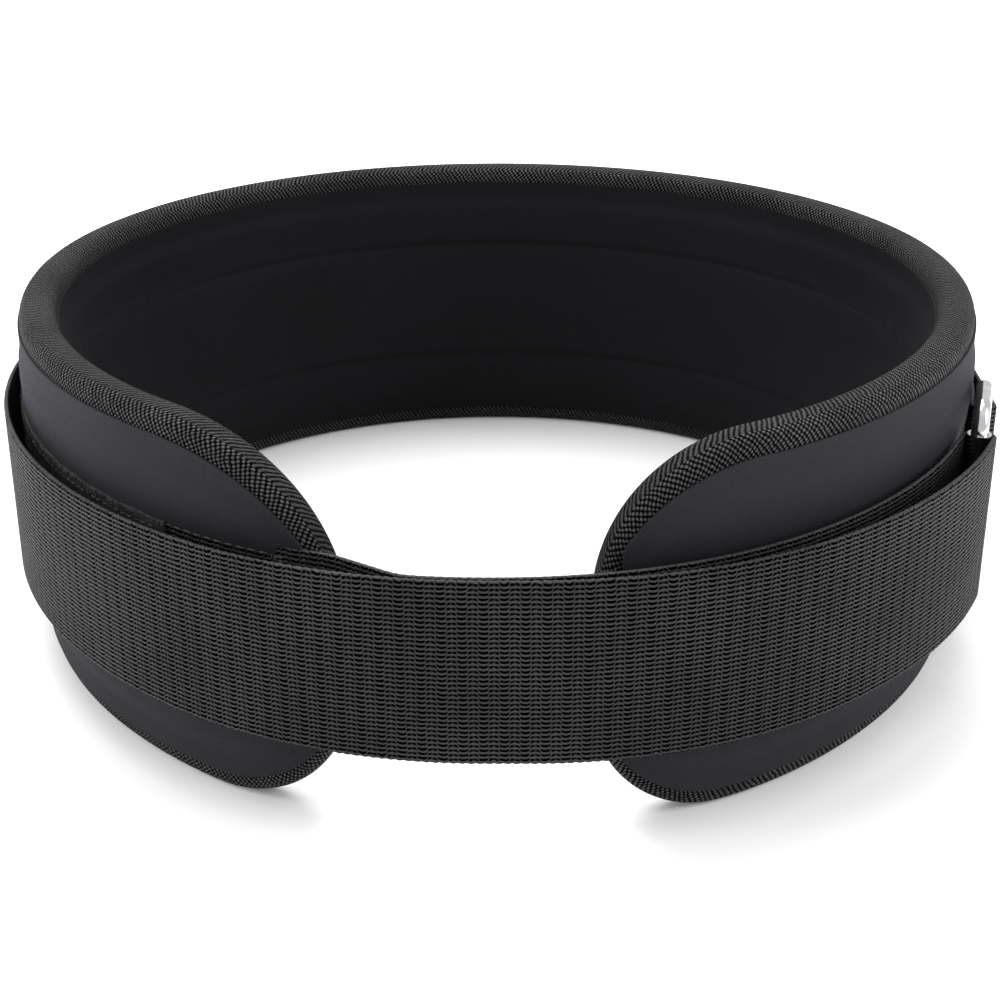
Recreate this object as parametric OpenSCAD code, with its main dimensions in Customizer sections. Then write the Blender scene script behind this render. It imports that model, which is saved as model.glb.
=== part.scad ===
// Padded foam-core belt with a wide pull strap, a roller buckle and a hook-and-loop tail.
// Z is up, the strap's front crossing faces -Y, and the buckle is on the +X side.
// Bearings are degrees clockwise from +Y, seen from above: 0 is the back, 90 the buckle side.
// Offsets are measured outwards from the pad's outer face.

/* [Waist] */
// Radius of the pad's outer face round the back
back_r = 151; // [120:1:160]
// Radius of the pad's outer face along the two sides
side_r = 172; // [162:1:190]
// Bearing where a side runs into the tighter front
side_end = 143; // [138:1:150]

/* [Pad] */
// Height of the pad, from lower edge to upper edge
pad_h = 108; // [90:1:130]
// Thickness of the pad
pad_t = 10; // [8:0.5:13]
// Thickness of the outer cover and of the inner lining
sheet_t = 1.8; // [1.4:0.1:2.4]
// Distance of the pad's left end from the middle of the front
left_end = 40; // [28:1:46]
// Distance of the pad's right end from the middle of the front
right_end = 25.5; // [20:0.5:32]
// Radius of the left end's upper corner
left_upper_r = 50; // [36:1:56]
// Radius of the right end's upper corner
right_upper_r = 42; // [36:1:56]
// Radius of both ends' lower corners
lower_r = 37; // [28:1:42]

/* [Edge binding] */
// Thickness of the binding tape
binding_t = 1.0; // [0.6:0.1:1.3]
// Width of tape that shows on each face
binding_w = 12; // [9:0.5:15]

/* [Webbing] */
// Width of the webbing
web_w = 52; // [44:0.2:62]
// Thickness of the webbing
web_t = 1.5; // [1.2:0.1:2.0]
// Gap at the front between the strap's two layers
layer_gap = 0.3; // [0.2:0.1:1]
// Distance that the strap stands forward of the pad at the middle of the front
bow = 7; // [3:0.5:10]

/* [Hook and loop] */
// Thickness of the loop patch
loop_t = 1.4; // [1:0.1:2.2]
// Thickness of the hook patch
hook_t = 1.0; // [0.8:0.1:1.4]
// Bearing of the strap tail's free end
tail_end = -62; // [-70:1:-50]
// Bearing of the line where the tail starts to peel
peel_line = -96; // [-104:1:-90]

/* [Buckle] */
// Diameter of the buckle's wire
wire_d = 5; // [4:0.25:6]
// Outer diameter of the roller
roller_d = 7; // [6.8:0.1:9]
// Height of the buckle's slot
slot_h = 61; // [58:1:78]
// Centre distance between the roller bar and the anchor bar
bar_pitch = 27; // [24:0.5:33]
// Bearing of the roller
roller_bearing = 116; // [106:1:120]
// Thickness of the wear patch under the buckle
wear_t = 1.0; // [0.8:0.1:1.4]

/* [Clearances] */
// Radial clearance of the roller on its bar
bore_gap = 0.08; // [0.05:0.01:0.1]
// Clearance between the webbing and the metal
web_gap = 0.25; // [0.2:0.05:0.5]
// Gap between pieces that move apart
run_gap = 0.5; // [0.4:0.1:0.8]
// Clearance between the hook patch and the loop patch
hook_gap = 0.3; // [0.2:0.05:0.5]

/* [Stitching] */
// Width of a line of stitching
thread_w = 0.8; // [0.5:0.1:1]
// Depth that the stitching sinks in
thread_t = 0.4; // [0.3:0.1:0.5]
// Distance of a stitch line from the edge that it holds
stitch_in = 2.6; // [2:0.1:4]

/* [Hidden] */
$fn = 96;

roller_r = roller_d / 2;
wire_r = wire_d / 2;
turn_r = roller_r + web_gap;                 // inner radius of the strap where it rounds the roller
loop_r = wire_r + web_gap;                   // inner radius of the chape round the anchor bar
web_z = (pad_h - web_w) / 2;                 // lower edge of all the webbing

// How far the roller's axis, and the two strap layers, stand off the pad at the roller
inner_lift = 0;
roller_stand = -bow * cos(roller_bearing);   // the inner layer's stand-off at the roller
roller_off = roller_stand + web_t + turn_r;
outer_off = web_t + layer_gap;               // inner face of the outer layer at the front
outer_lift = tidy((roller_off + turn_r - outer_off - roller_stand) / sin(roller_bearing));
tail_lift = tidy((web_t + loop_t + hook_gap + hook_t - outer_off) / sin(-tail_end));

// The footprint is a half circle at the back, two flatter side arcs and one front arc, all tangent
side_x = back_r - side_r;
front_r = side_r + side_x / sin(side_end);
front_y = (side_r - front_r) * cos(side_end);

function aim(b) = [sin(b), cos(b)];
function tidy(v) = round(v * 100) / 100;     // lines where two pieces of plan meet

anchor_off = 2 * web_t + loop_r;             // the chape lies on the base webbing
anchor_bearing = roller_bearing - 2 * asin(bar_pitch / 2 / (side_r + anchor_off));

// Origin under the middle of the whole belt
anchor_reach = (side_r + anchor_off) * sin(anchor_bearing) + loop_r;
roller_reach = (side_r + roller_off) * sin(roller_bearing) + turn_r;
reach_right = max(back_r + 3 * web_t, side_x + web_t + max(anchor_reach, roller_reach));
reach_left = back_r + tail_lift + outer_off + web_t;
reach_back = back_r + web_t;
reach_front = front_r - front_y + bow + outer_off + web_t;
back_c = [tidy((reach_left - reach_right) / 2), tidy((reach_front - reach_back) / 2)];
side_c = back_c + [side_x, 0];
front_c = back_c + [0, front_y];

roller_c = side_c + (side_r + roller_off) * aim(roller_bearing);
anchor_c = side_c + (side_r + anchor_off) * aim(anchor_bearing);
bar_gap = norm(anchor_c - roller_c);
frame_turn = atan2(anchor_c.y - roller_c.y, anchor_c.x - roller_c.x);

leg_len = 8;                                 // strap that goes with the buckle, in front of the roller
wear_to = roller_bearing + 13;
wear_h = web_w + 26;
sewn_to = anchor_bearing - 1;                // the base webbing's end on the buckle side
chape_from = anchor_bearing - 24;
chape_join = anchor_bearing - 10;            // where the chape's two layers come together
loop_from = tail_end + 12;
loop_to = -142;
far = 2 * back_r + 100;                      // longer than the belt is wide
ring_end = 4;                                // height of the loop between the roller and a bend

// Plan of everything within the footprint, grown outwards by an offset
module plan(offset_out) {
    side = side_r + offset_out;
    front_line = tidy(front_c.y + (front_r + offset_out) * cos(side_end));
    intersection() {
        translate(back_c) circle(back_r + offset_out);
        translate([back_c.x - far, back_c.y]) square([2 * far, far]);
    }
    intersection() {
        translate(side_c) circle(side);
        translate(side_c - [2 * side_x, 0]) circle(side);
        translate([back_c.x - far, front_line]) square([2 * far, back_c.y - front_line]);
    }
    intersection() {
        translate(front_c) circle(front_r + offset_out);
        translate([back_c.x - far, front_line - far]) square([2 * far, far]);
    }
}

// Plan of a sector between two bearings, seen from the middle of the back arc
module sector(from, to) {
    turns = ceil((to - from) / 60);
    step = (to - from) / turns;
    polygon(concat([back_c], [for (i = [0 : turns]) back_c + far * aim(from + i * step)]));
}

module ring_plan(inner, outer) difference() {
    plan(outer);
    plan(inner);
}

// Plan of a layer moved sideways all over, and moved forward in its front half only
module layer_plan(inner, outer, shift) {
    front_edge = back_c.y + shift.y;
    if (shift.y == 0)
        translate(shift) ring_plan(inner, outer);
    if (shift.y != 0) {
        intersection() {
            translate(shift) ring_plan(inner, outer);
            translate([back_c.x - far, front_edge - 2 * far]) square(2 * far);
        }
        intersection() {
            translate([shift.x, 0]) ring_plan(inner, outer);
            translate([back_c.x - far, back_c.y]) square(2 * far);
        }
        for (x = [back_r + inner, -back_r - outer])
            translate([back_c.x + shift.x + x, front_edge]) square([outer - inner, -shift.y]);
    }
}

// A band that follows the footprint between two bearings, from one offset to another
module band(from, to, inner, outer, z, h, shift = [0, 0])
    translate([0, 0, z]) linear_extrude(h) intersection() {
        layer_plan(inner, outer, shift);
        sector(from, to);
    }

module ring(inner, outer) linear_extrude(pad_h) ring_plan(inner, outer);

// Front view of one end of the pad, with its outline moved in by inset
module end_outline(end_x, upper_r, inset) {
    low = lower_r - inset;
    up = upper_r - inset;
    tip = end_x + inset;
    translate([tip + low, inset]) square([far, pad_h / 2 - inset]);
    translate([tip + up, pad_h / 2]) square([far, pad_h / 2 - inset]);
    translate([tip, inset + low]) square([far, pad_h - 2 * inset - low - up]);
    translate([tip + low, inset + low]) circle(low);
    translate([tip + up, pad_h - inset - up]) circle(up);
}

// Everything inside the pad's outline, moved in by inset: rounded ends in front, plain behind
module outline_block(inset) {
    translate([0, back_c.y, 0]) rotate([90, 0, 0]) linear_extrude(far) {
        translate([back_c.x, 0]) end_outline(right_end, right_upper_r, inset);
        translate([back_c.x, 0]) mirror([1, 0]) end_outline(left_end, left_upper_r, inset);
    }
    translate([back_c.x - far / 2, back_c.y - 1, inset]) cube([far, far, pad_h - 2 * inset]);
}

// The rear part is drawn from just behind the middle, so it never closes the front gap
module padded(inner, outer, inset) {
    intersection() {
        ring(inner, outer);
        outline_block(inset);
    }
}

module foam_core() color("dimgray") padded(sheet_t - pad_t, -sheet_t, binding_t);

// Cover and lining are full thickness in the window and pressed thin under the binding
module outer_cover() color([0.13, 0.13, 0.15]) {
    padded(-sheet_t, -binding_t, binding_t);
    padded(-sheet_t, 0, binding_w);
}

module inner_lining() color([0.06, 0.07, 0.09]) difference() {
    union() {
        padded(binding_t - pad_t, sheet_t - pad_t, binding_t);
        padded(-pad_t, sheet_t - pad_t, binding_w);
    }
    for (z = [web_z + stitch_in, web_z + web_w - stitch_in]) lining_stitches(z);
}

module edge_binding() color([0.2, 0.2, 0.2]) difference() {
    padded(-pad_t, 0, 0);
    padded(binding_t - pad_t, -binding_t, binding_t);
    outline_block(binding_w);
    binding_stitches();
}

module binding_stitches() {
    for (o = [-thread_t, -pad_t])
        difference() {
            padded(o, o + thread_t, binding_w - stitch_in);
            outline_block(binding_w - stitch_in + thread_w);
        }
}

module binding_seam() color([0.08, 0.08, 0.08]) binding_stitches();

// Seam lines that sew the base webbing down: outside in the webbing, inside in the lining
tip_bearing = -180 + asin(left_end / (front_r - front_y));
sewn_from = tip_bearing + 5;

module webbing_stitches(z)
    band(sewn_from, sewn_to - 1, web_t - thread_t, web_t, z - thread_w / 2, thread_w);

module lining_stitches(z)
    band(sewn_from + 4, sewn_to - 1, -pad_t, thread_t - pad_t, z - thread_w / 2, thread_w);

module bartack_stitches() {
    for (i = [0 : 2])
        band(sewn_from - 3 + i * 0.8, sewn_from - 2.7 + i * 0.8, web_t - thread_t, web_t,
             web_z + stitch_in, web_w - 2 * stitch_in);
    band(sewn_from - 3, sewn_from - 1.1, web_t - thread_t, web_t, (pad_h - thread_w) / 2, thread_w);
}

module base_webbing() color([0.16, 0.16, 0.16]) difference() {
    band(-180, sewn_to, 0, web_t, web_z, web_w);
    translate([back_c.x - left_end, back_c.y - far, -1]) cube([left_end + 10, far, pad_h + 2]);
    webbing_stitches(web_z + stitch_in);
    webbing_stitches(web_z + web_w - stitch_in);
    bartack_stitches();
}

module seam_pair(z) color([0.05, 0.05, 0.05]) {
    webbing_stitches(z);
    lining_stitches(z);
}

module upper_webbing_seam() seam_pair(web_z + web_w - stitch_in);

module lower_webbing_seam() seam_pair(web_z + stitch_in);

module end_bartack() color([0.05, 0.05, 0.05]) bartack_stitches();

// A sewn rectangle of stitching on a curved patch
module stitched_frame(from, to, inner, z, h, edge_r, shift = [0, 0]) {
    edge = stitch_in / edge_r * 180 / PI;
    step = thread_w / edge_r * 180 / PI;
    difference() {
        band(from + edge, to - edge, inner, inner + thread_t, z + stitch_in, h - 2 * stitch_in, shift);
        band(from + edge + step, to - edge - step, inner - 1, inner + thread_t + 1,
             z + stitch_in + thread_w, h - 2 * stitch_in - 2 * thread_w, shift);
    }
}

loop_h = web_w - 3;
loop_z = (pad_h - loop_h) / 2;

module loop_stitches()
    stitched_frame(loop_to, loop_from, web_t + loop_t - thread_t, loop_z, loop_h, side_r);

module loop_patch() color([0.1, 0.1, 0.1]) difference() {
    band(loop_to, loop_from, web_t, web_t + loop_t, loop_z, loop_h);
    loop_stitches();
}

module loop_patch_seam() color([0.05, 0.05, 0.05]) loop_stitches();

wear_z = (pad_h - wear_h) / 2;
wear_start = sewn_to + 0.4;

module wear_stitches()
    stitched_frame(wear_start, wear_to, wear_t - thread_t, wear_z, wear_h, side_r);

module wear_patch() color([0.09, 0.09, 0.1]) difference() {
    band(wear_start, wear_to, 0, wear_t, wear_z, wear_h);
    wear_stitches();
}

module wear_patch_seam() color([0.05, 0.05, 0.05]) wear_stitches();

// Plan of the folded chape: two layers sewn together that open round the anchor bar
module chape_plan() {
    difference() {
        translate(anchor_c) circle(loop_r + web_t);
        translate(anchor_c) circle(loop_r);
    }
    near = side_c + (side_r + 2 * web_t) * aim(chape_join);
    far_side = side_c + (side_r + 3 * web_t) * aim(chape_join);
    out = aim(anchor_bearing - 6);
    difference() {
        polygon([near, far_side, anchor_c + (loop_r + web_t) * out, anchor_c + loop_r * out]);
        translate(anchor_c) circle(loop_r);
    }
}

module chape_stitches() {
    stitched_frame(chape_from, chape_join, 3 * web_t - thread_t, web_z, web_w, back_r);
    // The cross inside the box
    intersection() {
        band(chape_from + 2, chape_join - 2, 3 * web_t - thread_t, 3 * web_t,
             web_z + stitch_in + thread_w, web_w - 2 * stitch_in - 2 * thread_w);
        translate([0, side_c.y + side_r * cos((chape_from + chape_join) / 2), pad_h / 2])
            for (lean = [-30, 30])
                rotate([lean, 0, 0])
                    translate([0, -thread_w / 2, -web_w / 2])
                        cube([far, thread_w, web_w]);
    }
}

module buckle_chape() color([0.15, 0.15, 0.15]) difference() {
    union() {
        band(chape_from, anchor_bearing - 1, web_t, 2 * web_t, web_z, web_w);
        band(chape_from, chape_join + 0.3, 2 * web_t, 3 * web_t, web_z, web_w);
        translate([0, 0, web_z]) linear_extrude(web_w) chape_plan();
    }
    chape_stitches();
    translate([anchor_c.x, anchor_c.y, web_z - 1]) cylinder(h = web_w + 2, r = loop_r);
}

module chape_box_stitch() color([0.05, 0.05, 0.05]) chape_stitches();

// Everything behind the line across the strap at the roller, moved forward by ahead
module behind_roller(ahead) {
    translate([roller_c.x, roller_c.y, 0]) rotate([0, 0, 90 - roller_bearing])
        translate([-far / 2, -ahead, -far / 2]) cube([far, far, far]);
}

// Plan of a strap layer that stands off the pad by lift at one side, and by bow at the front
module lifted_plan(from, to, inner, lift)
    intersection() {
        layer_plan(inner, inner + web_t, [lift, -bow]);
        sector(from, to);
    }

// The straight piece of a strap layer across the middle of the front
module front_plan(left, right, inner)
    translate([back_c.x + left, front_c.y - front_r - bow - inner - web_t])
        square([right - left, web_t]);

module half_plan(side, lift)
    translate([back_c.x + lift + (side > 0 ? 0 : -far), front_c.y - 2 * far])
        square([far, 4 * far]);

// Where the inner layer leaves the pad's left end and reaches the outer layer
meet = left_end - 18;

tail_shift = [-tail_lift, -bow];

function pad_face(x, out) = front_c + [x, -sqrt((front_r + out) ^ 2 - x ^ 2)];

module leaving_plan()
    polygon([
        pad_face(-left_end, 0), pad_face(-left_end, web_t),
        pad_face(tail_lift - meet, web_t) + tail_shift, pad_face(tail_lift - meet, 0) + tail_shift
    ]);

module strap_inner_run() color([0.15, 0.15, 0.15]) difference() {
    translate([0, 0, web_z]) linear_extrude(web_w) {
        leaving_plan();
        front_plan(-tail_lift, inner_lift, 0);
        intersection() {
            lifted_plan(-190, -150, 0, -tail_lift);
            half_plan(-1, -tail_lift);
            translate([back_c.x - meet, front_c.y - 2 * far]) square([meet, 2 * far]);
        }
        intersection() {
            lifted_plan(roller_bearing - 10, 190, 0, inner_lift);
            half_plan(1, inner_lift);
        }
    }
    behind_roller(leg_len + run_gap);
}

module strap_outer_run() color([0.18, 0.18, 0.18]) difference() {
    translate([0, 0, web_z]) linear_extrude(web_w) {
        intersection() {
            lifted_plan(-190, peel_line, outer_off, -tail_lift);
            half_plan(-1, -tail_lift);
        }
        front_plan(-tail_lift, outer_lift, outer_off);
        intersection() {
            lifted_plan(roller_bearing - 10, 190, outer_off, outer_lift);
            half_plan(1, outer_lift);
        }
    }
    behind_roller(leg_len + run_gap);
}

// The strap round the roller, with short legs that reach forward to the two runs
module strap_turn() color([0.17, 0.17, 0.17])
    translate([roller_c.x, roller_c.y, web_z]) rotate([0, 0, 90 - roller_bearing]) {
        rotate_extrude(angle = 180) translate([turn_r, 0]) square([web_t, web_w]);
        for (x = [-turn_r - web_t, turn_r])
            translate([x, -leg_len, 0]) cube([web_t, leg_len, web_w]);
    }

bend_r = wire_r + ring_end;
frame_h = slot_h + wire_d;                   // centre distance of the frame's two short sides

// Wire frame in its own plane: roller bar on x = 0, anchor bar on x = bar_gap
module wire_frame() {
    for (x = [0, bar_gap])
        translate([x, 0, bend_r]) cylinder(h = frame_h - 2 * bend_r, r = wire_r);
    for (z = [0, frame_h])
        translate([bend_r, 0, z]) rotate([0, 90, 0])
            cylinder(h = bar_gap - 2 * bend_r, r = wire_r);
    wire_bend([bend_r, bend_r], 180);
    wire_bend([bar_gap - bend_r, bend_r], 270);
    wire_bend([bar_gap - bend_r, frame_h - bend_r], 0);
    wire_bend([bend_r, frame_h - bend_r], 90);
}

module wire_bend(centre, turn)
    translate([centre.x, 0, centre.y]) rotate([90, 0, 0]) rotate([0, 0, turn])
        rotate_extrude(angle = 90) translate([bend_r, 0]) circle(wire_r);

module buckle_frame() color("silver")
    translate([roller_c.x, roller_c.y, (pad_h - frame_h) / 2]) rotate([0, 0, frame_turn])
        wire_frame();

roller_h = frame_h - 2 * bend_r;

module buckle_roller() color("gainsboro")
    translate([roller_c.x, roller_c.y, (pad_h - roller_h) / 2]) difference() {
        cylinder(h = roller_h, r = roller_r);
        translate([0, 0, -1]) cylinder(h = roller_h + 2, r = wire_r + bore_gap);
    }

tail_gap = run_gap / back_r * 180 / PI;
tail_in = outer_off;

module tail_stitches()
    stitched_frame(peel_line + 6, tail_end, outer_off + web_t - thread_t, web_z, web_w, back_r, tail_shift);

module strap_tail() color([0.18, 0.18, 0.18]) difference() {
    band(peel_line + tail_gap, tail_end, tail_in, tail_in + web_t, web_z, web_w, tail_shift);
    tail_stitches();
}

module hook_patch() color([0.07, 0.07, 0.07])
    band(peel_line + 6, tail_end - 1, tail_in - hook_t, tail_in, loop_z, loop_h, tail_shift);

module hook_patch_seam() color([0.05, 0.05, 0.05]) tail_stitches();

foam_core();
outer_cover();
inner_lining();
edge_binding();
binding_seam();
base_webbing();
upper_webbing_seam();
lower_webbing_seam();
end_bartack();
loop_patch();
loop_patch_seam();
wear_patch();
wear_patch_seam();
buckle_chape();
chape_box_stitch();
strap_inner_run();
strap_outer_run();
strap_turn();
buckle_frame();
buckle_roller();
strap_tail();
hook_patch();
hook_patch_seam();
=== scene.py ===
# %% [markdown]
# # Padded belt with a pull strap and a roller buckle
# The frame gives the belt's pieces at their real sizes, in metres. This lesson dresses that frame:
# it models the padded body, the bound edge, the webbing, the stitching and the fastener tapes,
# and gives every piece a finish made of nodes.

# %% The frame
import bpy
import numpy as np
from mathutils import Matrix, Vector, noise


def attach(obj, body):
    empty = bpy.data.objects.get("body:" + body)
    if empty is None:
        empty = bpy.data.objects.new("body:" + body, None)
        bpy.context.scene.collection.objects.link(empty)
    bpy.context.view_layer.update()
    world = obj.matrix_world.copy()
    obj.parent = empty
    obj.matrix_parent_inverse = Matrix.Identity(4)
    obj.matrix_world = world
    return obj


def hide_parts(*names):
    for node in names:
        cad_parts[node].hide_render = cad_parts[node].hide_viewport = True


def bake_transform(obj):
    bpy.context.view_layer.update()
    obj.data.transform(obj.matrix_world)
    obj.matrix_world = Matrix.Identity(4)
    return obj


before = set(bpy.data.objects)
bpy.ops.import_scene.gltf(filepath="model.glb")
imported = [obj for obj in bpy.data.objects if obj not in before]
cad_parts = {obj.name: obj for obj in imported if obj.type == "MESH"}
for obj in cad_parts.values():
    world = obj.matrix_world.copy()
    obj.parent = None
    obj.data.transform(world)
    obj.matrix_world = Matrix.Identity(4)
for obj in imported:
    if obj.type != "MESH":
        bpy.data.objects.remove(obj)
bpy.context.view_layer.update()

MM = 0.001
SAME = 1e-6  # values closer than this are taken as equal

# %% [markdown]
# ## Camera
# The camera comes first, so that every later choice can be judged from the same place.
# It stands in front of the strap at a little over half a metre, looking down by about a quarter
# of a right angle, as a person sees a belt on a table.

# %% Camera
camera_place = (0.0017, -0.5455, 0.270)
camera_tilt = 66.2
camera_lens = 63.3

bpy.ops.object.select_all(action="DESELECT")
camera_data = bpy.data.cameras.new("camera")
camera_data.lens = camera_lens
camera_data.sensor_width = 36.0
camera_data.clip_start = 0.01
camera = bpy.data.objects.new("camera", camera_data)
bpy.context.collection.objects.link(camera)
camera.location = camera_place
camera.rotation_euler = (np.radians(camera_tilt), 0.0, 0.0)
bpy.context.scene.camera = camera
bpy.context.scene.view_settings.view_transform = "Standard"
print("camera at", camera_place)

# %% [markdown]
# ## Round the waist
# Every sewn piece of this belt is flat when it is cut, and curves only when the belt is closed.
# So each piece is modelled flat, and then laid along a line in plan that follows the belt.
# A line is made of arcs, and each bearing is turned clockwise from the back, seen from above.

# %% The belt's line in plan
BACK_MIDDLE = np.array([0.76, 11.39]) * MM
BACK_R = 151 * MM
SIDE_R = 172 * MM
SIDE_END = 143.0
PAD_H = 108 * MM
PAD_T = 10 * MM
WEB_W = 52 * MM
WEB_T = 1.5 * MM
WEB_Z = (PAD_H - WEB_W) / 2
LEFT_END, RIGHT_END = 40 * MM, 25.5 * MM
LEFT_UPPER_R, RIGHT_UPPER_R, LOWER_R = 50 * MM, 42 * MM, 37 * MM
BOW = 7 * MM
BEARING_STEP = 0.5

side_x = BACK_R - SIDE_R
FRONT_R = SIDE_R + side_x / np.sin(np.radians(SIDE_END))
front_y = (SIDE_R - FRONT_R) * np.cos(np.radians(SIDE_END))


def aim(bearing):
    turn = np.radians(bearing)
    return np.array([np.sin(turn), np.cos(turn)])


def arc_at(bearing):
    """Centre and radius of the arc that the pad's outer face follows at a bearing."""
    turned = (bearing + 180.0) % 360.0 - 180.0
    side = 1.0 if turned >= 0 else -1.0
    if abs(turned) <= 90.0:
        return BACK_MIDDLE, BACK_R
    if abs(turned) <= SIDE_END:
        return BACK_MIDDLE + np.array([side * side_x, 0.0]), SIDE_R
    return BACK_MIDDLE + np.array([0.0, front_y]), FRONT_R


def spot(bearing, out, shift=0.0, bow=0.0):
    """A point at a bearing, a given way out from the pad's face, moved sideways by shift, and
    forward by bow if it is in the front half."""
    middle, radius = arc_at(bearing)
    ahead = bow if 90.0 < bearing % 360.0 < 270.0 else 0.0
    return middle + (radius + out) * aim(bearing) + np.array([shift, -ahead])


def bearings(first, last):
    """Bearings from the first up to the last, or down to it."""
    return np.arange(first, last, BEARING_STEP if last > first else -BEARING_STEP)


def lengths_along(points):
    """The length of a path up to each of its points."""
    return np.r_[0, np.cumsum(np.linalg.norm(np.diff(points, axis=0), axis=1))]


def read_at(wanted, along, values):
    """Each column of values, read between its entries at the wanted lengths."""
    return np.column_stack([np.interp(wanted, along, column) for column in values.T])


def smooth_line(points, step=1.0 * MM, rounds=0):
    """The points again, evenly spaced, after some rounds of evening out."""
    points = np.array(points, float)
    for _ in range(rounds):
        points[1:-1] = 0.25 * points[:-2] + 0.5 * points[1:-1] + 0.25 * points[2:]
    along = lengths_along(points)
    wanted = np.linspace(0, along[-1], max(3, int(round(along[-1] / step)) + 1))
    return read_at(wanted, along, points)


class Line:
    """A line in plan that flat pieces are laid along. Its outward side is on the left of its run,
    or on the right if outward is -1."""

    def __init__(self, points, outward=1.0):
        self.points = points
        self.along = lengths_along(points)
        self.length = self.along[-1]
        run = np.gradient(points, self.along, axis=0)
        run /= np.linalg.norm(run, axis=1)[:, None]
        self.run = run
        self.out = outward * np.column_stack([-run[:, 1], run[:, 0]])

    def at(self, s, values):
        return read_at(s, self.along, values)

    def place(self, s, z, out):
        """Points in space for lengths s along the line, heights z and distances out from it."""
        flat = self.at(s, self.points) + self.at(s, self.out) * np.asarray(out)[:, None]
        nearest = np.clip(s, 0, self.length)
        flat += self.at(nearest, self.run) * (np.asarray(s) - nearest)[:, None]
        return np.column_stack([flat, z])


def line_at(turns, out, shift=0.0, bow=0.0):
    """A line through the spots at some bearings, a given way out from the pad's face."""
    return Line(smooth_line([spot(b, out, shift, bow) for b in turns]))


left_tip = -180 + np.degrees(np.arcsin(LEFT_END / FRONT_R))
right_tip = 180 - np.degrees(np.arcsin(RIGHT_END / FRONT_R))
pad_bearings = np.arange(left_tip, right_tip + 0.01, BEARING_STEP / 2)
pad_line = Line(smooth_line([spot(b, 0.0) for b in pad_bearings], 0.5 * MM))
print("the pad's outer face is %.0f mm long" % (pad_line.length / MM))


# %% [markdown]
# ## Tools for the bench
# A flat piece starts as a grid primitive of its own size. Solidify gives it its thickness and Bevel
# softens its edges, both applied. Its flat length and width become its UV map in metres, so that a
# weave keeps its scale wherever the piece goes, and then its points are laid along a line.

# %% Making and laying flat pieces
def select_only(piece):
    bpy.ops.object.select_all(action="DESELECT")
    piece.select_set(True)
    bpy.context.view_layer.objects.active = piece


def thicken(piece, thickness, offset):
    """Gives the active piece its thickness. An offset of 0 shares it between both sides."""
    solid = piece.modifiers.new("thickness", "SOLIDIFY")
    solid.thickness = thickness
    solid.offset = offset
    bpy.ops.object.modifier_apply(modifier=solid.name)


def soften_sides(piece, width, edge):
    """Rounds the two long sides of the active piece, and leaves its cut ends sharp."""
    weights = piece.data.attributes.new("bevel_weight_edge", "FLOAT", "EDGE")
    co = points_of(piece)
    ends = np.zeros(len(piece.data.edges) * 2, dtype=np.int32)
    piece.data.edges.foreach_get("vertices", ends)
    first, last = co[ends[0::2]], co[ends[1::2]]
    level = np.abs(first[:, 2] - last[:, 2]) < SAME
    starts_on_side, ends_on_side = (
        np.abs(np.abs(end[:, 1]) - width / 2) < SAME for end in (first, last))
    weights.data.foreach_set("value", (starts_on_side & ends_on_side & level).astype(np.float32))
    bevel = piece.modifiers.new("edge", "BEVEL")
    bevel.width = edge
    bevel.segments = 3
    bevel.limit_method = "WEIGHT"
    bpy.ops.object.modifier_apply(modifier=bevel.name)


def flat_sheet(name, length, width, columns, rows, thickness=0.0, edge=0.0):
    """A flat grid, its length along X from 0 and its width along Y about 0."""
    bpy.ops.object.select_all(action="DESELECT")
    bpy.ops.mesh.primitive_grid_add(
        x_subdivisions=columns, y_subdivisions=rows, size=1.0, calc_uvs=True)
    piece = bpy.context.object
    piece.name = name
    piece.data.name = name
    bpy.ops.object.mode_set(mode="EDIT")
    bpy.ops.mesh.select_all(action="SELECT")
    bpy.ops.transform.resize(value=(length, width, 1.0))
    bpy.ops.transform.translate(value=(length / 2, 0.0, 0.0))
    bpy.ops.object.mode_set(mode="OBJECT")
    if thickness:
        thicken(piece, thickness, 0.0)
    if edge:
        soften_sides(piece, width, edge)
    return piece


def points_of(piece):
    values = np.zeros(len(piece.data.vertices) * 3)
    piece.data.vertices.foreach_get("co", values)
    return values.reshape(-1, 3)


def set_points(piece, values):
    piece.data.vertices.foreach_set("co", np.ascontiguousarray(values, dtype=np.float64).ravel())
    piece.data.update()


def map_flat(piece):
    """Writes each point's flat length and width, in metres, into the UV map."""
    co = points_of(piece)
    layer = piece.data.uv_layers.active or piece.data.uv_layers.new(name="flat")
    corners = np.zeros(len(piece.data.loops), dtype=np.int32)
    piece.data.loops.foreach_get("vertex_index", corners)
    layer.data.foreach_set("uv", co[corners, :2].ravel())


def dress(piece, slot):
    piece.data.materials.clear()
    piece.data.materials.append(FINISH[slot])


def finish_piece(piece, slot, body="belt", angle=35):
    """Outward normals, smooth shading below an angle in degrees, and the piece's slot and body."""
    select_only(piece)
    bpy.ops.object.mode_set(mode="EDIT")
    bpy.ops.mesh.select_all(action="SELECT")
    bpy.ops.mesh.normals_make_consistent(inside=False)
    bpy.ops.object.mode_set(mode="OBJECT")
    bpy.ops.object.shade_smooth_by_angle(angle=np.radians(angle))
    dress(piece, slot)
    if body:
        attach(piece, body)
    print("%s: %d faces" % (piece.name, len(piece.data.polygons)))
    return piece


# %% [markdown]
# ## Finishes
# Each cloth is a weave, not a colour. The nodes below work out the height of the yarn at each point
# from the piece's flat length and width, and use it for the bump and for painted shading in the colour:
# painted shade in the gaps and a painted highlight on the yarn's top.

# %% Node helpers
def new_finish(name):
    finish = bpy.data.materials.new(name)
    finish.use_nodes = True
    tree = finish.node_tree
    shader = next(n for n in tree.nodes if n.type == "BSDF_PRINCIPLED")
    return finish, tree, shader


def feed(tree, socket, value):
    if isinstance(value, bpy.types.NodeSocket):
        tree.links.new(value, socket)
    else:
        socket.default_value = value


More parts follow.
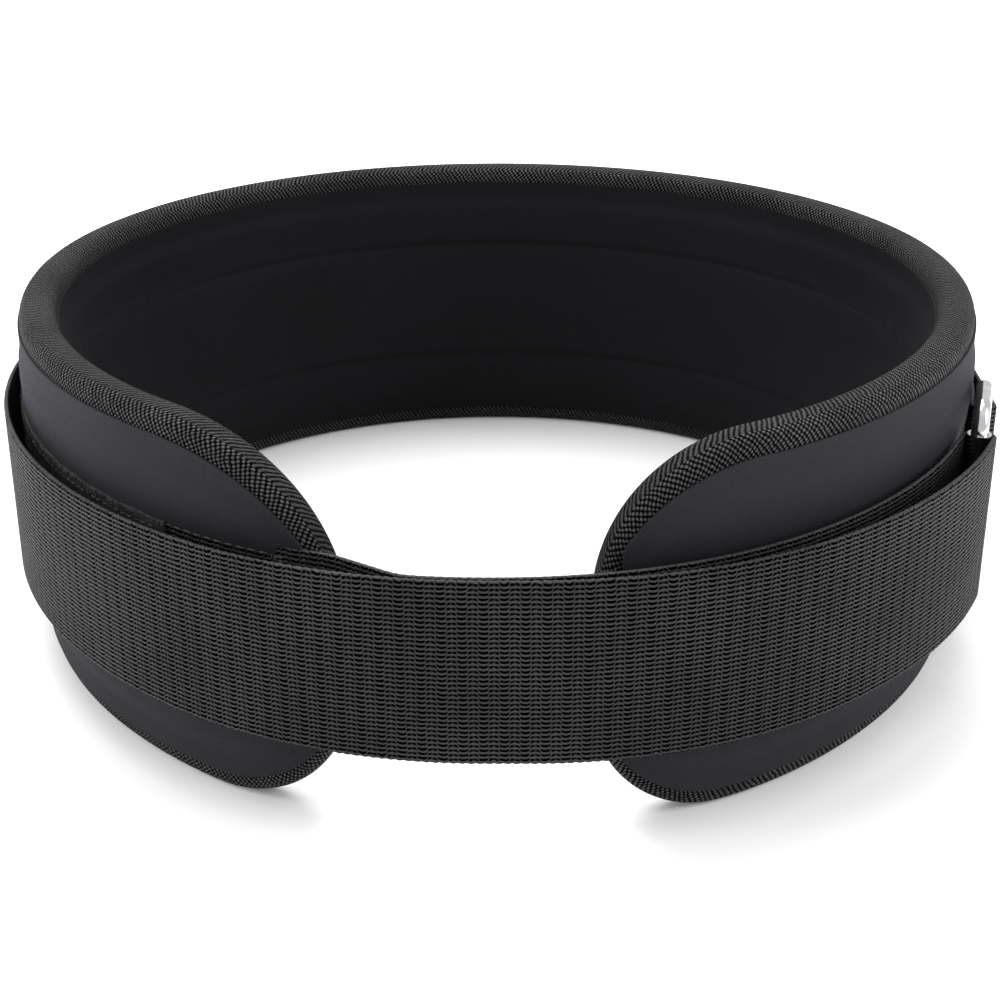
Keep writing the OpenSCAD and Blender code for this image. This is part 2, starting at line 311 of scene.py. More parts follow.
def math(tree, operation, *values):
    step = tree.nodes.new("ShaderNodeMath")
    step.operation = operation
    for socket, value in zip(step.inputs, values):
        feed(tree, socket, value)
    return step.outputs[0]


def spread(tree, value, low, high, to_low=0.0, to_high=1.0):
    step = tree.nodes.new("ShaderNodeMapRange")
    step.interpolation_type = "SMOOTHSTEP"
    for socket, v in zip(step.inputs, (value, low, high, to_low, to_high)):
        feed(tree, socket, v)
    return step.outputs[0]


def mixed(tree, share, first, second):
    step = tree.nodes.new("ShaderNodeMix")
    step.data_type = "RGBA"
    feed(tree, step.inputs[0], share)
    feed(tree, step.inputs[6], first)
    feed(tree, step.inputs[7], second)
    return step.outputs[2]


def cloudy(tree, scale, detail=3.0):
    step = tree.nodes.new("ShaderNodeTexNoise")
    step.inputs["Scale"].default_value = scale
    step.inputs["Detail"].default_value = detail
    step.inputs["Roughness"].default_value = 0.55
    place = tree.nodes.new("ShaderNodeTexCoord").outputs["Object"]
    tree.links.new(place, step.inputs["Vector"])
    return step.outputs[0]


def flat_place(tree):
    """Length and width on the flat piece, in millimetres."""
    place = tree.nodes.new("ShaderNodeTexCoord").outputs["UV"]
    parts = tree.nodes.new("ShaderNodeSeparateXYZ")
    tree.links.new(place, parts.inputs[0])
    return tuple(math(tree, "MULTIPLY", parts.outputs[i], 1000.0) for i in (0, 1))


def raise_by(tree, shader, height, distance):
    bump = tree.nodes.new("ShaderNodeBump")
    bump.inputs["Strength"].default_value = 1.0
    bump.inputs["Distance"].default_value = distance
    tree.links.new(height, bump.inputs["Height"])
    tree.links.new(bump.outputs[0], shader.inputs["Normal"])


def wave(tree, value, period):
    """A sine of the value, with a given period."""
    return math(tree, "SINE", math(tree, "MULTIPLY", value, 2 * np.pi / period))


def one_minus(tree, value):
    return math(tree, "SUBTRACT", 1.0, value)


# %% [markdown]
# ### Webbing
# Heavy strap webbing shows rows of thick yarn along the strap. From one column to the next each row
# bows down, then up, and steps by half a row, so slits open between the rows in every column. Shade is
# painted into the colour in the slits, with a painted highlight on the top of each row.

# %% Webbing finish
def webbing_finish(name, shaded_gap_colour, lit_crest_colour, pitch=1.34, column=2.6):
    """pitch is from row to row and column from column to column, in millimetres."""
    finish, tree, shader = new_finish(name)
    u, v = flat_place(tree)
    drift = math(tree, "MULTIPLY_ADD", cloudy(tree, 260.0), 1.8, -0.9)
    u = math(tree, "ADD", u, math(tree, "MULTIPLY", drift, 0.5))

    # Which column a point is in, and how far it is from the column's middle.
    columns = math(tree, "DIVIDE", u, column)
    odd = math(tree, "FLOORED_MODULO", math(tree, "FLOOR", columns), 2.0)
    across = math(tree, "MULTIPLY_ADD", math(tree, "FRACT", columns), 2.0, -1.0)
    square = math(tree, "MULTIPLY", across, across)

    # Rows bow one way in even columns and the other way, with a step, in odd ones.
    way = math(tree, "MULTIPLY_ADD", odd, -2.0, 1.0)
    bow = math(tree, "MULTIPLY", math(tree, "MULTIPLY", one_minus(tree, square), way), 0.27 * pitch)
    moved = math(tree, "ADD", math(tree, "ADD", v, bow), math(tree, "MULTIPLY", odd, 0.42 * pitch))
    moved = math(tree, "ADD", moved, math(tree, "MULTIPLY", drift, 0.35))

    # Slits between rows stop short of a column's sides, and half close in the middle of odd ones.
    from_slit = math(tree, "PINGPONG", moved, pitch / 2)
    slit = one_minus(tree, spread(tree, from_slit, 0.05 * pitch, 0.38 * pitch))
    slit = math(tree, "MULTIPLY", slit, spread(tree, square, 0.93, 0.55))
    filled = math(tree, "MULTIPLY", odd, spread(tree, square, 0.18, 0.0, 0.0, 0.55))
    slit = math(tree, "MULTIPLY", slit, one_minus(tree, filled))
    border = math(tree, "MULTIPLY", spread(tree, square, 0.86, 1.0), 0.30)

    strands = cloudy(tree, 2200.0, 2.0)
    height = math(tree, "SUBTRACT", one_minus(tree, slit), border)
    height = math(tree, "MULTIPLY_ADD", strands, 0.45, math(tree, "SUBTRACT", height, 0.12))
    # Painted shade and highlight: the colour follows the yarn's height, near black in the slits and at
    # the column sides, lighter on the top of each row. The patches add random tone.
    painted_shading_and_patch = math(tree, "POWER", spread(tree, height, 0.15, 1.25), 2.3)
    patch = spread(tree, cloudy(tree, 30.0), 0.3, 0.7, 0.80, 1.05)
    painted_shading_and_patch = math(tree, "MULTIPLY", painted_shading_and_patch, patch)
    tree.links.new(mixed(tree, painted_shading_and_patch, shaded_gap_colour, lit_crest_colour), shader.inputs["Base Color"])
    tree.links.new(spread(tree, strands, 0.3, 0.7, 0.45, 0.65), shader.inputs["Roughness"])
    tree.links.new(math(tree, "MULTIPLY", painted_shading_and_patch, 0.30), shader.inputs["Specular IOR Level"])
    raise_by(tree, shader, height, 0.80 * MM)
    return finish


# The dark colour is the painted shade in the slits, and the light one is the yarn's colour with a
# painted highlight on the top of the rows.
FINISH = {"webbing": webbing_finish(
    "webbing", shaded_gap_colour=(0.0003, 0.0003, 0.0003, 1), lit_crest_colour=(0.032, 0.031, 0.032, 1))}

# %% [markdown]
# ### Binding tape
# The edge is bound in a herringbone tape: slanting ribs that meet in a point along the tape's middle,
# each crossed by fine warp threads. Round a corner the ribs fan out, which the flat map does by itself.

# %% Binding finish
def binding_finish(name, shaded_gap_colour, lit_crest_colour, rib=1.75, half_tape=7.25, bead=0.42):
    """rib is from rib to rib, half_tape how far the ribs run before they turn back, and bead half
    the length of a bead, in millimetres."""
    finish, tree, shader = new_finish(name)
    u, v = flat_place(tree)
    drift = math(tree, "MULTIPLY_ADD", cloudy(tree, 300.0), 1.8, -0.9)
    slant = math(tree, "PINGPONG", math(tree, "ADD", v, 1.0), half_tape)
    slant = math(tree, "MULTIPLY", slant, 0.75)
    across = math(tree, "ADD", math(tree, "ADD", u, slant), drift)
    ribs = spread(tree, math(tree, "PINGPONG", across, rib / 2), 0.06 * rib, 0.40 * rib)
    beads = math(tree, "ADD", v, math(tree, "MULTIPLY", across, 0.5))
    beads = spread(tree, math(tree, "PINGPONG", beads, bead), 0.04, 0.34)
    ribs = math(tree, "MULTIPLY_ADD", ribs, 0.62, 0.38)
    height = math(tree, "MULTIPLY", ribs, math(tree, "MULTIPLY_ADD", beads, 0.55, 0.45))
    height = math(tree, "SUBTRACT", height, 0.12)
    height = math(tree, "MULTIPLY_ADD", cloudy(tree, 1500.0), 0.60, height)
    # Painted shade and highlight: the colour follows the height of ribs and beads, near black between
    # them and lighter on their tops. The patches add random tone.
    painted_shading_and_patch = math(tree, "POWER", spread(tree, height, 0.20, 1.25), 2.0)
    patch = spread(tree, cloudy(tree, 30.0), 0.3, 0.7, 0.8, 1.1)
    painted_shading_and_patch = math(tree, "MULTIPLY", painted_shading_and_patch, patch)
    tree.links.new(mixed(tree, painted_shading_and_patch, shaded_gap_colour, lit_crest_colour), shader.inputs["Base Color"])
    shader.inputs["Roughness"].default_value = 0.60
    tree.links.new(math(tree, "MULTIPLY", painted_shading_and_patch, 0.45), shader.inputs["Specular IOR Level"])
    raise_by(tree, shader, height, 0.60 * MM)
    return finish


# The dark colour is the painted shade between ribs and beads, and the light one is the tape's colour
# with a painted highlight on their tops.
FINISH["binding"] = binding_finish(
    "binding", shaded_gap_colour=(0.0004, 0.0004, 0.0004, 1), lit_crest_colour=(0.055, 0.053, 0.054, 1))

# %% [markdown]
# ### Cover and lining
# Both faces are a fine knit bonded to foam. The knit is so fine that it reads as a soft grain, with
# broad, faint changes of tone, and a sheen where it turns away.

# %% Knit finish
def knit_finish(name, low, high, grain, sheen, shaded_groove_heights=()):
    """grain is the bump's depth. grooves are heights of stitch lines, both in millimetres. Along each
    groove, shade is painted into the colour, with a painted highlight beside it.
    """
    finish, tree, shader = new_finish(name)
    u, v = flat_place(tree)
    loops = math(tree, "MULTIPLY", wave(tree, u, 0.62), wave(tree, v, 0.50))
    fuzz = cloudy(tree, 2600.0)
    height = math(tree, "MULTIPLY_ADD", fuzz, 1.4, math(tree, "MULTIPLY", loops, 0.35))
    broad = spread(tree, cloudy(tree, 9.0, 4.0), 0.3, 0.7)
    fine = spread(tree, cloudy(tree, 900.0, 2.0), 0.35, 0.65, 0.8, 1.1)
    share = math(tree, "MULTIPLY", broad, fine)
    # Painted shade and highlight: along each stitch groove the colour is darkened, and a band beside it
    # is lightened; the bump dips at the groove too.
    for place in shaded_groove_heights:
        aside = math(tree, "ABSOLUTE", math(tree, "SUBTRACT", v, place))
        share = math(tree, "MULTIPLY", share, spread(tree, aside, 0.5, 2.6, -1.0, 1.0))
        share = math(tree, "ADD", share, spread(tree, aside, 2.0, 7.0, 0.9, 0.0))
        height = math(tree, "ADD", height, spread(tree, aside, 0.2, 2.4, -6.0, 0.0))
    tree.links.new(mixed(tree, share, low, high), shader.inputs["Base Color"])
    tree.links.new(spread(tree, fuzz, 0.3, 0.7, 0.60, 0.82), shader.inputs["Roughness"])
    shader.inputs["Specular IOR Level"].default_value = 0.12
    shader.inputs["Sheen Weight"].default_value = sheen
    shader.inputs["Sheen Roughness"].default_value = 0.45
    shader.inputs["Sheen Tint"].default_value = (0.75, 0.8, 1.0, 1)
    raise_by(tree, shader, height, grain * MM)
    return finish


FINISH["cover"] = knit_finish(
    "cover", (0.0095, 0.0097, 0.0125, 1), (0.0150, 0.0155, 0.0195, 1), grain=0.10, sheen=0.03)
# The lining's two stitch grooves get painted shade in the colour, with a painted highlight beside each.
FINISH["lining"] = knit_finish(
    "lining", (0.0016, 0.0018, 0.0026, 1), (0.0030, 0.0034, 0.0044, 1), grain=0.06, sheen=0.004,
    shaded_groove_heights=(30.6, 77.4))

# %% [markdown]
# ### Thread, fastener tapes, foam and metal
# Thread is glossier than the cloth it holds. Loop tape is a matt pile and hook tape is moulded
# plastic. The buckle is polished plate with the faint brushing and dulling that handling leaves.

# %% Small finishes
def plain_finish(name, low, high, scale, roughness, bump, metal=0.0, specular=0.4):
    """Two tones and a range of roughness, mixed by one grain. bump is in millimetres."""
    finish, tree, shader = new_finish(name)
    grain = cloudy(tree, scale, 4.0)
    tree.links.new(mixed(tree, spread(tree, grain, 0.3, 0.7), low, high), shader.inputs["Base Color"])
    tree.links.new(spread(tree, grain, 0.25, 0.75, *roughness), shader.inputs["Roughness"])
    shader.inputs["Metallic"].default_value = metal
    shader.inputs["Specular IOR Level"].default_value = specular
    raise_by(tree, shader, grain, bump * MM)
    return finish


FINISH["thread"] = plain_finish(
    "thread", (0.004, 0.004, 0.0045, 1), (0.045, 0.045, 0.046, 1), 900.0, (0.35, 0.55), 0.08)
FINISH["loop"] = plain_finish(
    "loop", (0.010, 0.010, 0.0105, 1), (0.045, 0.044, 0.045, 1), 1400.0, (0.75, 0.95), 0.30,
    specular=0.2)
FINISH["hook"] = plain_finish(
    "hook", (0.006, 0.006, 0.006, 1), (0.014, 0.014, 0.014, 1), 700.0, (0.35, 0.55), 0.05)
FINISH["foam"] = plain_finish(
    "foam", (0.012, 0.012, 0.013, 1), (0.03, 0.03, 0.032, 1), 1200.0, (0.8, 0.95), 0.15)
FINISH["metal"] = plain_finish(
    "metal", (0.46, 0.46, 0.47, 1), (0.62, 0.62, 0.63, 1), 160.0, (0.07, 0.22), 0.004,
    metal=1.0, specular=0.5)
print("finishes:", sorted(FINISH))


# %% [markdown]
# ## The pad's outline
# The pad is a long strip with rounded ends. The heights of its two edges at each place along it are
# needed by the cover, the lining and the binding, so they are worked out once, from how far that
# place is to the side.

# %% Outline of the flat pad
def edge_heights(s):
    """Heights of the pad's lower and upper edge at length s along its outer face."""
    place = pad_line.at(np.clip(s, 0, pad_line.length), pad_line.points)
    x = place[:, 0] - BACK_MIDDLE[0]
    front = place[:, 1] < BACK_MIDDLE[1]
    reach = np.clip(np.where(x < 0, -x - LEFT_END, x - RIGHT_END), 0, None)

    def corner(radius):
        inside = radius - np.clip(reach, 0, radius)
        drop = radius - np.sqrt(np.clip(radius**2 - inside**2, 0, None))
        return np.where(front & (reach < radius), drop, 0.0)

    upper_r = np.where(x < 0, LEFT_UPPER_R, RIGHT_UPPER_R)
    return corner(np.full(len(x), LOWER_R)), PAD_H - corner(upper_r)


def outline_points(step, samples=6000):
    """The flat pad's outline, evenly spaced: top edge, right end, lower edge, left end. Also the
    inward direction at each point, and the length up to it."""
    fine = pad_line.length / 2 * (1 - np.cos(np.linspace(0, np.pi, samples)))
    lower, upper = edge_heights(fine)
    top = np.column_stack([fine, upper])
    low = np.column_stack([fine, lower])[::-1]
    ring = np.vstack([top, low, top[:1]])
    along = lengths_along(ring)
    count = int(round(along[-1] / step))
    wanted = np.linspace(0, along[-1], count + 1)
    even = read_at(wanted, along, ring)
    run = np.roll(even[:-1], -1, 0) - np.roll(even[:-1], 1, 0)
    for _ in range(3):
        run = np.roll(run, 1, 0) + 2 * run + np.roll(run, -1, 0)
    run /= np.linalg.norm(run, axis=1)[:, None]
    inward = np.column_stack([run[:, 1], -run[:, 0]])
    return even, np.vstack([inward, inward[:1]]), wanted


outline, outline_in, outline_along = outline_points(1.5 * MM)
print("the bound edge is %.0f mm long" % (outline_along[-1] / MM))


# %% [markdown]
# ## Cover and lining
# The real faces are two strips of knit glued to the foam and drawn in by the stitching, so the cloth
# swells a little between the stitch lines and dips at them. Each face is a flat grid with more
# columns near its ends, laid on the pad with that swell.

# %% Padded faces
SEAM_IN = 2.6 * MM
SEAM_UP = WEB_Z + WEB_W - SEAM_IN
SEAM_LOW = WEB_Z + SEAM_IN
KNIT_T = 1.2 * MM
FACE_INSET = 6 * MM
FACE_COLUMNS, FACE_ROWS = 620, 72
CROWDING = 0.35  # how much closer the columns stand near the pad's ends
UNDER_TAPE = 10 * MM  # how far the binding covers the faces


def padded_face(name, depth, swell):
    """One face of the pad. depth is where it lies, and swell(s, z, edge) how far it stands out from
    there at length s, height z and distance edge in from its own edge."""
    piece = flat_sheet(name, 1.0, 2.0, FACE_COLUMNS, FACE_ROWS)
    co = points_of(piece)
    crowded = (1 - np.cos(np.pi * np.clip(co[:, 0], 0, 1))) / 2
    s = pad_line.length * (CROWDING * crowded + (1 - CROWDING) * co[:, 0])
    s = FACE_INSET + s * (1 - 2 * FACE_INSET / pad_line.length)
    lower, upper = edge_heights(s)
    lower, upper = lower + FACE_INSET, upper - FACE_INSET
    z = (lower + upper) / 2 + co[:, 1] * (upper - lower) / 2
    edge = (1 - np.abs(co[:, 1])) * (upper - lower) / 2
    set_points(piece, np.column_stack([s, z, np.zeros(len(s))]))
    map_flat(piece)
    set_points(piece, pad_line.place(s, z, depth + swell(s, z, edge)))
    thicken(piece, KNIT_T, -1.0 if depth > -PAD_T / 2 else 1.0)
    return piece


def pillow(z, low, high):
    """0 at both stitch lines and 1 between them."""
    t = np.clip((z - low) / (high - low), 0, 1)
    return (4 * t * (1 - t)) ** 0.45


def ripple(s, z, length, seed):
    """Soft noise between about -1 and 1, three times longer across the pad than along it."""
    return np.array([noise.noise(Vector((a / length, b / (3 * length), seed))) for a, b in zip(s, z)])


def cover_swell(s, z, edge):
    near_edge = np.clip((edge - 6 * MM) / (5 * MM), 0, 1)
    bands = (pillow(z, UNDER_TAPE, WEB_Z + 3 * MM)
             + pillow(z, WEB_Z + WEB_W - 3 * MM, PAD_H - UNDER_TAPE))
    unevenness = 0.12 * MM * ripple(s, z, 14 * MM, 3.0) * near_edge * np.clip(bands, 0.0, 1)
    return 0.9 * MM * bands * near_edge + unevenness


def lining_swell(s, z, edge):
    near_edge = np.clip((edge - 5 * MM) / (5 * MM), 0, 1)
    bands = (pillow(z, UNDER_TAPE, SEAM_LOW) + pillow(z, SEAM_LOW, SEAM_UP)
             + pillow(z, SEAM_UP, PAD_H - UNDER_TAPE))
    from_seam = np.minimum(np.abs(z - SEAM_LOW), np.abs(z - SEAM_UP))
    pucker = 0.28 * MM * np.exp(-((from_seam / (4 * MM)) ** 2)) * ripple(s, z, 4.5 * MM, 7.0)
    creases = 0.5 * MM * ripple(s, z, 22 * MM, 11.0)
    return -(1.5 * MM * bands * near_edge + pucker + creases * near_edge)


cover = padded_face("outer_cover_knit", 0.0, cover_swell)
finish_piece(cover, "cover")
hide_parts("outer_cover")

lining = padded_face("inner_lining_knit", -PAD_T, lining_swell)
finish_piece(lining, "lining")
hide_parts("inner_lining")


# %% [markdown]
# ## Edge binding
# The tape is folded over the raw edge and sewn through once. It starts as a flat grid as long as the
# edge and as wide as the tape, and each column of points is folded round the edge at its own place.

# %% Binding tape
TAPE_T = 0.8 * MM
TAPE_ROWS = 30
CROWN = 4.6 * MM  # how deep in the fold's round part reaches
WEFT = 3.5 * MM  # from wave to wave along the tape's selvedge


def fold_profile():
    """Depth in from the edge, and distance out from the outer face, across the folded tape."""
    turn = np.linspace(0, np.pi, 15)
    rim_in = CROWN * (1 - np.sin(turn) ** 0.85)
    rim_reach = PAD_T / 2 + 0.55 * MM
    rim_out = -PAD_T / 2 + rim_reach * np.sign(np.cos(turn)) * np.abs(np.cos(turn)) ** 0.8
    outer = np.array([(12.3, 0.15), (11.2, 0.35), (10.0, 0.12), (8.6, 0.50), (6.4, 0.66)]) * MM
    inner = np.array([(6.2, 0.6), (8.0, 0.5), (9.4, 0.15), (10.6, 0.3), (11.4, 0.1)]) * MM
    inner[:, 1] = -PAD_T - inner[:, 1]
    profile = np.vstack([outer, np.column_stack([rim_in, rim_out]), inner])
    along = lengths_along(profile)
    wanted = np.linspace(0, along[-1], TAPE_ROWS + 1)
    return read_at(wanted, along, profile), wanted


tape_columns = len(outline) - 1
fold, fold_along = fold_profile()
tape = flat_sheet("edge_binding_tape", 1.0, 1.0, tape_columns, TAPE_ROWS)
co = points_of(tape)
column = np.rint(co[:, 0] * tape_columns).astype(int)
row = np.rint((co[:, 1] + 0.5) * TAPE_ROWS).astype(int)
set_points(tape, np.column_stack([outline_along[column], fold_along[row], np.zeros(len(co))]))
map_flat(tape)
selvedge = 0.12 * MM * np.sin(outline_along[column] * 2 * np.pi / WEFT)
on_selvedge = (row == 0) | (row == TAPE_ROWS)
depth_in = fold[row, 0] + np.where(on_selvedge, selvedge, 0)
flat = outline[column] + outline_in[column] * depth_in[:, None]
set_points(tape, pad_line.place(flat[:, 0], flat[:, 1], fold[row, 1]))
bpy.ops.object.mode_set(mode="EDIT")
bpy.ops.mesh.select_all(action="SELECT")
bpy.ops.mesh.remove_doubles(threshold=0.02 * MM)
bpy.ops.mesh.normals_make_consistent(inside=False)
bpy.ops.object.mode_set(mode="OBJECT")
thicken(tape, TAPE_T, -1.0)
finish_piece(tape, "binding", angle=60)
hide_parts("edge_binding")


# %% [markdown]
# ## Foam core
# The foam shows nowhere on a finished belt, but it fills the pad, so its CAD solid stays inside the
# cover as it is, with a closed-cell finish.

# %% Foam finish
dress(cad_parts["foam_core"], "foam")


# %% [markdown]
# ## Webbing
# The strap is one length of webbing in real life: sewn round the outside of the pad, left free
# across the front, turned back round the roller, and closed on itself with hook and loop.
# Each stretch is a flat strip with its thickness and softened edges, whose edges bulge a little at
# every weft turn, laid along its own line in plan.

# %% Strips of webbing
STRAP_ROWS = 14
WEFT_TURN = 2.3 * MM


def strap(name, line, start=0.0, width=WEB_W, thick=WEB_T, step=1.15 * MM):
    """A strip of webbing along a line, at the belt's half height. start is the flat length already
    used, so that the weave runs on."""
    columns = max(4, int(line.length / step))
    piece = flat_sheet(name, line.length, width - 0.3 * MM, columns, STRAP_ROWS, thick, 0.42 * thick)
    co = points_of(piece)
    set_points(piece, co + np.array([start, 0, 0]))
    map_flat(piece)
    at_side = np.clip((np.abs(co[:, 1]) - (width / 2 - 1.4 * MM)) / (1.2 * MM), 0, 1)
    bulge = 0.16 * MM * np.sin((co[:, 0] + start) * 2 * np.pi / WEFT_TURN) * at_side * np.sign(co[:, 1])
    set_points(piece, line.place(co[:, 0], PAD_H / 2 + co[:, 1] + bulge, co[:, 2]))
    return piece


OUTER_OFF, OUTER_LIFT, TAIL_LIFT = 1.8 * MM, 8.01 * MM, 2.72 * MM
MID = WEB_T / 2
ROLLER_BEARING = 116.0
SPLIT = 135.0
TAIL_END = 360 - 62
FREE_END, SEWN_START, SEWN_END = 180 + 9.3, 180 + 17.5, 360 + 106.4
USED_LENGTH = 0.9  # flat length before the outer pass begins

inner_front = [
    spot(b, MID, -TAIL_LIFT if b > 180 else 0.0, BOW) for b in bearings(SPLIT, FREE_END)]
on_pad = [spot(b, MID) for b in bearings(SEWN_START, SEWN_END)]
sewn_line = Line(smooth_line(smooth_line(inner_front + on_pad), rounds=10))
outer_points = [
    spot(b, OUTER_OFF + MID, OUTER_LIFT if b <= 180 else -TAIL_LIFT, BOW)
    for b in bearings(SPLIT, TAIL_END + BEARING_STEP + SAME)]
outer_line = Line(smooth_line(outer_points, rounds=6))
print("sewn webbing %.0f mm, outer pass and tail %.0f mm"
      % (sewn_line.length / MM, outer_line.length / MM))

sewn_webbing = strap("sewn_webbing", sewn_line)
finish_piece(sewn_webbing, "webbing")
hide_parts("base_webbing", "strap_inner_run")

outer_strap = strap("outer_strap", outer_line, start=USED_LENGTH)
finish_piece(outer_strap, "webbing", body=None)
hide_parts("strap_outer_run", "strap_tail")
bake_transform(outer_strap)

# %% [markdown]
# ### Turn round the roller
# The strap passes behind the buckle, round the roller, and back to the front.

# %% Strap turn
RING_STEP = 6.0


def ring_points(centre, radius, from_turn, to_turn):
    """Points each few degrees round a centre. Turns here run from X towards Y."""
    way = np.sign(to_turn - from_turn)
    turns = np.arange(from_turn, to_turn + way * SAME, RING_STEP * way)
    return [centre + radius * np.array([np.cos(np.radians(t)), np.sin(np.radians(t))]) for t in turns]


ROLLER_R, WIRE_R, RUN_CLEAR = 3.5 * MM, 2.5 * MM, 0.25 * MM
ROLLER, ANCHOR = np.array([141.829, -67.6565]) * MM, np.array([149.479, -41.4342]) * MM
across_turn = 90 - ROLLER_BEARING
inner_leg = [spot(b, MID, 0.0, BOW) for b in bearings(SPLIT, ROLLER_BEARING + 2.9)]
outer_leg = [
    spot(b, OUTER_OFF + MID, OUTER_LIFT, BOW) for b in bearings(ROLLER_BEARING + 3.0, SPLIT + SAME)]
round_roller = ring_points(ROLLER, ROLLER_R + RUN_CLEAR + MID, across_turn + 180, across_turn)
turn_line = Line(smooth_line(inner_leg + round_roller + outer_leg, 0.5 * MM, 8), outward=-1.0)
strap_fold = strap("strap_turn_webbing", turn_line, start=USED_LENGTH - turn_line.length, step=0.9 * MM)
finish_piece(strap_fold, "webbing", body=None)
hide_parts("strap_turn")
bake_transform(strap_fold)

# %% [markdown]
# ### Chape
# A short length of the same webbing is folded round the buckle's fixed bar and sewn down in a box.

# %% Chape
CHAPE_FROM, CHAPE_JOIN, ANCHOR_BEARING = 83.3, 97.3, 107.288
anchor_turn = 90 - ANCHOR_BEARING
under = [spot(b, 1.5 * WEB_T) for b in bearings(CHAPE_FROM, ANCHOR_BEARING - 0.5)]
round_bar = ring_points(ANCHOR, WIRE_R + RUN_CLEAR + MID, anchor_turn - 178, anchor_turn + 20)
over = [spot(b, 2.5 * WEB_T) for b in bearings(CHAPE_JOIN, CHAPE_FROM - 0.01)]
chape_line = Line(smooth_line(under + round_bar + over, 0.5 * MM, 4))
chape = strap("chape_webbing", chape_line, start=2.0, step=0.9 * MM)
finish_piece(chape, "webbing")
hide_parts("buckle_chape")

# %% [markdown]
# ## Stitching
# A stitch is a short, fat dash of thread that dips into the cloth at both ends. It is modelled once,
# from a sphere drawn out along its length, and a seam is a row of copies that follows the cloth.

# %% One stitch, and rows of it
bpy.ops.object.select_all(action="DESELECT")
bpy.ops.mesh.primitive_uv_sphere_add(
    segments=6, ring_count=6, radius=0.5, rotation=(0, np.radians(90), 0))
bpy.ops.object.transform_apply(location=True, rotation=True, scale=True)
master = bpy.context.object
stitch_points = points_of(master)
stitch_faces = [tuple(f.vertices) for f in master.data.polygons]
bpy.data.objects.remove(master, do_unlink=True)


def copies(name, shape, faces, places, runs, ups, sizes):
    """One mesh of many copies. Each has a place, a direction of run, an up and a size."""
    places, runs, ups, sizes = (np.asarray(a, float) for a in (places, runs, ups, sizes))
    runs = runs / np.linalg.norm(runs, axis=1)[:, None]
    sides = np.cross(ups, runs)
    sides /= np.linalg.norm(sides, axis=1)[:, None]
    tops = np.cross(runs, sides)
    sized = shape[None] * sizes[:, None, :]
    verts = (places[:, None] + sized[..., 0:1] * runs[:, None]
             + sized[..., 1:2] * sides[:, None] + sized[..., 2:3] * tops[:, None])
    count = len(shape)
    all_faces = [tuple(i + k * count for i in f) for k in range(len(places)) for f in faces]
    mesh = bpy.data.meshes.new(name)
    mesh.from_pydata(verts.reshape(-1, 3).tolist(), [], all_faces)
    mesh.update()
    piece = bpy.data.objects.new(name, mesh)
    bpy.context.collection.objects.link(piece)
    return piece


def seam(name, path, ups, spacing, length, thick, body="belt"):
    """A row of stitches along a path in space, each half sunk in the cloth that the path lies on."""
    path, ups = np.asarray(path, float), np.asarray(ups, float)
    along = lengths_along(path)
    count = max(2, int(along[-1] / spacing))
    wanted = (np.arange(count) + 0.5) * along[-1] / count
    ahead, behind = (read_at(wanted + way * 0.4 * MM, along, path) for way in (1, -1))
    rng = np.random.default_rng(len(name) * 7 + count)
    lengths = length * rng.uniform(0.9, 1.08, count)
    sizes = np.column_stack([lengths, np.full(count, thick), np.full(count, thick)])
    piece = copies(name, stitch_points, stitch_faces, read_at(wanted, along, path), ahead - behind,
                   read_at(wanted, along, ups), sizes)
    return finish_piece(piece, "thread", body, angle=60)


def on_line(line, s, z, out):
    """A path on a laid piece, a single distance out from its line, and the outward direction at
    each of its points."""
    path = line.place(s, z, np.full(len(s), out))
    ups = np.column_stack([line.at(np.clip(s, 0, line.length), line.out), np.zeros(len(s))])
    return path, ups


# %% [markdown]
# ### Rows along the binding
# One row holds the tape on both faces, all the way round, close to the tape's inner edge.

# %% Binding seams
TAPE_STITCH = (3.2 * MM, 2.5 * MM, 0.6 * MM)
binding_rows = (("outer", 0.30 * MM, 10.1 * MM, 1), ("inner", -PAD_T - 0.32 * MM, 9.5 * MM, -1))
for face, depth, deep, way in binding_rows:
    flat = outline + outline_in * deep
    path, ups = on_line(pad_line, flat[:, 0], flat[:, 1], depth)
    made = seam("binding_seam_" + face, path, way * ups, *TAPE_STITCH)
    if face == "outer":
        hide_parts("binding_seam")

# %% [markdown]
# ### Rows that hold the webbing to the pad
# The webbing is sewn down along both of its edges, and the same thread shows on the lining.

# %% Webbing seams
TIP, SEAM_STOP = 18 * MM, 118 * MM
WEB_STITCH = (3.6 * MM, 2.9 * MM, 0.55 * MM)
s = np.arange(TIP, pad_line.length - SEAM_STOP, 1 * MM)
for name, height in (("upper", SEAM_UP), ("lower", SEAM_LOW)):
    z = np.full(len(s), height)
    path, ups = on_line(pad_line, s, z, WEB_T + 0.02 * MM)
    made = seam(name + "_webbing_seam_outside", path, ups, *WEB_STITCH)
    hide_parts(name + "_webbing_seam")
    path, ups = on_line(pad_line, s, z, -PAD_T - 0.02 * MM)
    seam(name + "_webbing_seam_inside", path, -ups, *WEB_STITCH)

# %% Bar tack at the webbing's front end, and the chape's box
TACK_TURNS, TACK_HALF = 120, 1.6 * MM
z = np.linspace(SEAM_LOW, SEAM_UP, TACK_TURNS)
side_of = np.sign(np.sin(np.arange(TACK_TURNS) * np.pi / 2 + 0.1))
path, ups = on_line(pad_line, TIP - 2 * MM + TACK_HALF * side_of, z, WEB_T + 0.05 * MM)
made = seam("end_bartack_thread", path, ups, 1.5 * MM, 1.7 * MM, 0.5 * MM)
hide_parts("end_bartack")


